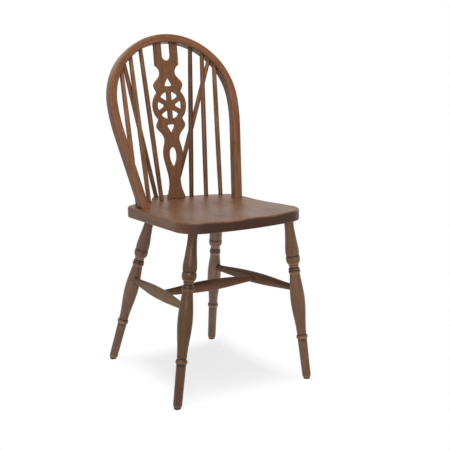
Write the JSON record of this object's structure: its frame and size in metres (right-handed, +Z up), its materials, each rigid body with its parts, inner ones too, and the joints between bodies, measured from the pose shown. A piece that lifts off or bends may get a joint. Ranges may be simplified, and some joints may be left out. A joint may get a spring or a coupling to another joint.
{
  "type": "wheelback chair",
  "caption": "Wheelback Windsor side chair in walnut-stained beech, with a bent bow, turned spindles, a pierced wheel splat, two brace sticks on a bobtail, and turned legs with stretchers",
  "frame": {"origin": "On the floor, under the middle of the chair's bounding box.", "axes": "+Z is up, -Y is the front of the seat, +Y the back, and +X the sitter's left, which is the viewer's right from in front."},
  "size_m": [0.4154, 0.4628, 0.8865],
  "materials": {
    "seat_beech": "walnut-stained beech under satin lacquer",
    "bow_beech": "steam-bent beech, walnut stain, satin lacquer",
    "splat_beech": "walnut-stained beech under satin lacquer",
    "stick_beech": "turned beech, walnut stain, satin lacquer",
    "turned_beech": "turned beech, walnut stain, satin lacquer",
    "wedge_beech": "plain beech, stained over",
    "glide_plastic": "moulded black plastic",
    "nail_steel": "bright steel nail"
  },
  "bodies": {
    "root": {"bow": "bow_beech", "bow_wedges": "wedge_beech", "brace_stick_left": "stick_beech", "brace_stick_right": "stick_beech", "cross_stretcher": "turned_beech", "front_glide_left": "glide_plastic", "front_glide_right": "glide_plastic", "front_leg_left": "turned_beech", "front_leg_right": "turned_beech", "glide_nails": "nail_steel", "inner_spindle_left": "stick_beech", "inner_spindle_right": "stick_beech", "middle_spindle_left": "stick_beech", "middle_spindle_right": "stick_beech", "outer_spindle_left": "stick_beech", "outer_spindle_right": "stick_beech", "rear_glide_left": "glide_plastic", "rear_glide_right": "glide_plastic", "rear_leg_left": "turned_beech", "rear_leg_right": "turned_beech", "seat": "seat_beech", "side_stretcher_left": "turned_beech", "side_stretcher_right": "turned_beech", "splat": "splat_beech"}
  },
  "joints": []
}
